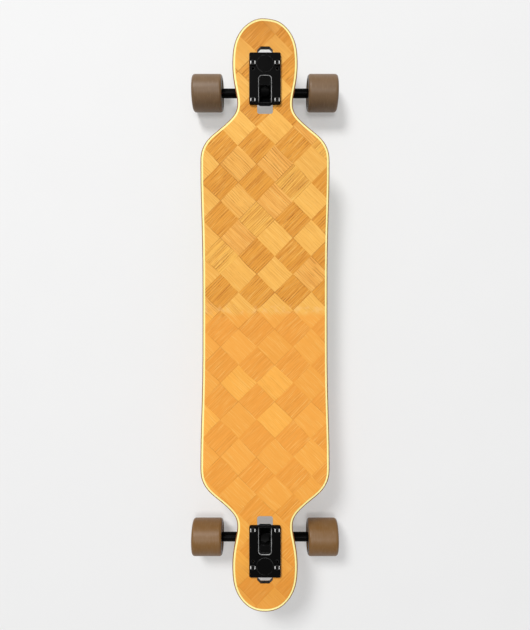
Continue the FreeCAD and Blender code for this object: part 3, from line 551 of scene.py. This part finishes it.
def urethane():
    """Cast taupe urethane, darker on the inner face as painted shade, scuffed on the tread and printed on
    the outer face.
    """
    paint = Paint("urethane")
    side = abs(paint.x) - AXLE.x
    rise = paint.z - AXLE.z
    radius = paint.reach(side, rise)
    turn = paint.calculate("ARCTAN2", rise, side) / math.tau + 0.5
    outward = abs(paint.y) - WHEEL.y
    face = paint.smooth(outward, TYRE_HALF_WIDTH - FACE_DEPTH, TYRE_HALF_WIDTH - FACE_FULL)
    tread = paint.smooth(radius, TYRE_RADIUS - TREAD_DEPTH, TYRE_RADIUS - TREAD_FULL)
    inner = paint.smooth(outward, INNER_DEPTH - TYRE_HALF_WIDTH, -TYRE_HALF_WIDTH)
    cloud = paint.noise(paint.place, scale=55.0, detail=3.0)
    dust = paint.noise(paint.place, scale=700.0, detail=3.0)
    scuff = paint.noise(paint.vector(paint.x * 90.0, paint.y * 700.0, paint.z * 90.0), detail=3.0)
    taupe = paint.mix(paint.x < 0.0, tone(109, 84, 58), tone(116, 81, 37))
    colour = paint.mix(paint.smooth(cloud, 0.3, 0.7) * 0.3, taupe, tone(124, 97, 68))
    # Painted shade: the inner face darkened
    colour = paint.mix(inner * 0.85, colour, tone(34, 26, 20))
    colour = paint.mix(tread * paint.smooth(scuff, 0.5, 0.75) * 0.25, colour, tone(150, 124, 96))
    colour = wheel_print(paint, colour, radius, turn, face)
    roughness = paint.ease(tread, 0.24, 0.42)
    return paint.finish(colour, roughness, height=dust + scuff * tread, depth=0.00006, edge=0.0006,
                        Specular_IOR_Level=0.35)


def black_metal(name, base, wear_and_highlight, roughness):
    """Black-coated metal: a fine orange peel, edges lighter as wear and painted highlight, a painted
    highlight on the pocket's slanted rim.
    """
    paint = Paint(name)
    cloud = paint.noise(paint.place, scale=90.0, detail=4.0)
    peel = paint.noise(paint.place, scale=1400.0)
    patches = paint.smooth(paint.noise(paint.place, scale=160.0, detail=4.0), 0.34, 0.56)
    # Edges lightened: partly rubbed wear, partly a painted highlight
    colour = paint.mix(paint.edges(radius=0.0009) * patches * 0.9, base, wear_and_highlight)
    # Painted highlight on the slanted rim round each baseplate's pocket
    slanted = paint.smooth(abs(paint.rise() - RIM_RISE), 0.1, 0.05)
    rim = slanted * (paint.z > PLATE_HIGH.z - RIM_DEPTH)
    rim = rim * paint.smooth(abs(paint.x), BOLT_LOW.x, BOLT_LOW.x + RIM_FADE)
    colour = paint.mix(rim * (patches * 0.6 + 0.4), colour, tone(176, 176, 176))
    gloss = paint.ease(cloud, roughness - 0.07, roughness + 0.07)
    return paint.finish(colour, gloss, height=peel, depth=0.00004, edge=0.0006, Specular_IOR_Level=0.03)


def black_bolts(name):
    """Blackened steel fasteners, with a painted highlight: a bright strip down each side of each deck
    bolt's head.
    """
    paint = Paint(name)
    cloud = paint.noise(paint.place, scale=90.0, detail=4.0)
    middle = (BOLT_LOW + BOLT_TOP) / 2
    reach = BOLT_TOP.x - middle.x - BOLT_HEAD_RADIUS
    aside = abs(abs(paint.y) - BOLT_TOP.y + BOLT_HEAD_RADIUS)
    lengthways = abs(abs(abs(paint.x) - middle.x) - reach)
    # Painted highlight: a bright strip down each side of a deck bolt's head, broken up by noise
    strip = paint.smooth(abs(aside - GLINT_PLACE), GLINT_HALF_WIDTH, GLINT_HALF_WIDTH / 2)
    strip = strip * paint.smooth(lengthways, GLINT_HALF_LENGTH, GLINT_HALF_LENGTH - 0.001)
    glint_breaks = paint.smooth(paint.noise(paint.place, scale=420.0), 0.36, 0.44)
    head = paint.z > BOLT_TOP.z - BOLT_HEAD_HEIGHT
    colour = paint.mix(strip * glint_breaks * head, tone(12, 12, 12), tone(240, 240, 238))
    gloss = paint.ease(cloud, 0.22, 0.36)
    return paint.finish(colour, gloss, height=cloud, depth=0.00003, edge=0.0005, Specular_IOR_Level=0.12)


def bare_steel(name, light, dark, roughness):
    """Bright steel with fine turning marks and a little staining."""
    paint = Paint(name)
    lines = paint.noise(paint.vector(paint.x * 300.0, paint.y * 5000.0, paint.z * 300.0))
    stain = paint.noise(paint.place, scale=220.0, detail=4.0)
    colour = paint.mix(paint.smooth(stain, 0.35, 0.7), light, dark)
    gloss = paint.ease(lines, roughness - 0.08, roughness + 0.1)
    return paint.finish(colour, gloss, height=lines, depth=0.00003, edge=0.0004, Metallic=1.0)


def moulded(name, base, pale, roughness, soft=0.0):
    """Moulded plastic or rubber with a fine grain and dust on its edges."""
    paint = Paint(name)
    cloud = paint.noise(paint.place, scale=120.0, detail=4.0)
    grain = paint.noise(paint.place, scale=2200.0)
    dusty = paint.edges(radius=0.0008) * paint.smooth(cloud, 0.35, 0.6)
    colour = paint.mix(paint.smooth(cloud, 0.3, 0.75) * 0.25, base, pale)
    colour = paint.mix(dusty * 0.6, colour, pale)
    gloss = paint.ease(cloud, roughness - 0.08, roughness + 0.08)
    return paint.finish(colour, gloss, height=grain, depth=0.00005, edge=0.0005,
                        Subsurface_Weight=soft, Subsurface_Scale=0.002)


def dress_nodes():
    """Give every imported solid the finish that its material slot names."""
    finishes = {
        "woven_veneer": woven_veneer(),
        "pale_ply": ply("pale_ply", tone(255, 246, 178), tone(244, 222, 138), tone(255, 244, 164)),
        "core_ply": ply("core_ply", tone(206, 130, 52), tone(168, 96, 36), tone(136, 76, 26)),
        "printed_veneer": printed_veneer(),
        "truck_black": black_metal("truck_black", tone(5, 5, 5), tone(92, 92, 92), 0.32),
        "black_steel": black_bolts("black_steel"),
        "axle_steel": bare_steel("axle_steel", tone(205, 204, 200), tone(160, 158, 152), 0.26),
        "bearing_steel": bare_steel("bearing_steel", tone(220, 220, 220), tone(186, 186, 184), 0.2),
        "urethane": urethane(),
        "cup_black": moulded("cup_black", tone(24, 24, 26), tone(64, 62, 60), 0.45),
        "core_plastic": moulded("core_plastic", tone(22, 21, 22), tone(70, 66, 62), 0.38),
        "shield_black": moulded("shield_black", tone(26, 26, 28), tone(74, 72, 70), 0.42),
        "bushing_orange": moulded("bushing_orange", tone(214, 104, 30), tone(238, 150, 84), 0.33, 0.3),
    }
    for subpart in frame["record"]["subparts"]:
        mesh = frame["nodes"][subpart["node"]].data
        mesh.materials.clear()
        mesh.materials.append(finishes[subpart["material_slot"]])


def bend_bushings():
    """Copies of each truck's two bushings, put in place of the imported ones, which are hidden."""
    for end in ("front", "rear"):
        board_side = middle_of(f"{end}_boardside_bushing")
        road_side = middle_of(f"{end}_roadside_bushing")
        half = (board_side - road_side).normalized() * BUSHING_HALF_HEIGHT
        for node, place, outward in ((f"{end}_boardside_bushing", board_side, half),
                                     (f"{end}_roadside_bushing", road_side, -half)):
            rubber = bpy.data.objects.new(f"{node}_rubber", frame["nodes"][node].data.copy())
            bpy.context.scene.collection.objects.link(rubber)
            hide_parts(node)
            place + outward
            place - outward
            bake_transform(rubber)


def add_floor():
    """A pale floor, slightly mottled, wide enough to fill every view."""
    corners = [(FLOOR_HALF * x, FLOOR_HALF * y, 0.0) for x, y in ((-1, -1), (1, -1), (1, 1), (-1, 1))]
    mesh = bpy.data.meshes.new("floor")
    mesh.from_pydata(corners, [], [(0, 1, 2, 3)])
    floor = bpy.data.objects.new("floor", mesh)
    bpy.context.scene.collection.objects.link(floor)
    paint = Paint("floor_paint")
    mottle = paint.noise(paint.place, scale=9.0, detail=3.0)
    colour = paint.mix(mottle, tone(237, 237, 237), tone(239, 239, 239))
    mesh.materials.append(paint.finish(colour, 0.7))
    far = paint.smooth(paint.reach(paint.x, paint.y), BACKDROP_START, BACKDROP_END)
    paint.glow(colour, paint.ease(far, FLOOR_GLOW, FAR_GLOW))


def add_light(name, place, size, power):
    """A soft square lamp aimed at the board's middle."""
    lamp = bpy.data.lights.new(name, "AREA")
    lamp.size = size
    lamp.energy = power
    light = bpy.data.objects.new(name, lamp)
    light.location = place
    light.rotation_euler = (-Vector(place)).to_track_quat("-Z", "Y").to_euler()
    light.visible_camera = False
    bpy.context.scene.collection.objects.link(light)


def add_surroundings(level, seen):
    """An even pale room: one level lights the board, another is seen by the camera and in reflections."""
    world = bpy.data.worlds.new("room")
    world.use_nodes = True
    nodes = world.node_tree.nodes
    links = world.node_tree.links
    rays = nodes.new("ShaderNodeLightPath")
    direct = nodes.new("ShaderNodeMath")
    direct.operation = "MAXIMUM"
    links.new(rays.outputs["Is Camera Ray"], direct.inputs[0])
    links.new(rays.outputs["Is Transmission Ray"], direct.inputs[1])
    either = nodes.new("ShaderNodeMath")
    either.operation = "MAXIMUM"
    links.new(direct.outputs[0], either.inputs[0])
    links.new(rays.outputs["Is Glossy Ray"], either.inputs[1])
    strength = nodes.new("ShaderNodeMix")
    strength.inputs["A"].default_value = level
    strength.inputs["B"].default_value = seen
    links.new(either.outputs[0], strength.inputs["Factor"])
    backdrop = nodes["Background"]
    backdrop.inputs["Color"].default_value = (1.0, 1.0, 1.0, 1.0)
    links.new(strength.outputs["Result"], backdrop.inputs["Strength"])
    bpy.context.scene.world = world


def add_camera():
    lens = bpy.data.cameras.new("camera")
    lens.lens = LENS
    lens.sensor_width = SENSOR
    camera = bpy.data.objects.new("camera", lens)
    camera.location = (0.0, 0.0, CAMERA_HEIGHT)
    camera.rotation_euler = (0.0, 0.0, NOSE_UP)
    bpy.context.scene.collection.objects.link(camera)
    bpy.context.scene.camera = camera


dress_nodes()
bend_bushings()
add_floor()
add_light("key", KEY_PLACE, KEY_SIZE, KEY_POWER)
add_light("overhead", OVERHEAD_PLACE, OVERHEAD_SIZE, OVERHEAD_POWER)
add_surroundings(ROOM_LIGHT, ROOM_SEEN)
add_camera()
bpy.context.scene.view_settings.view_transform = "Standard"
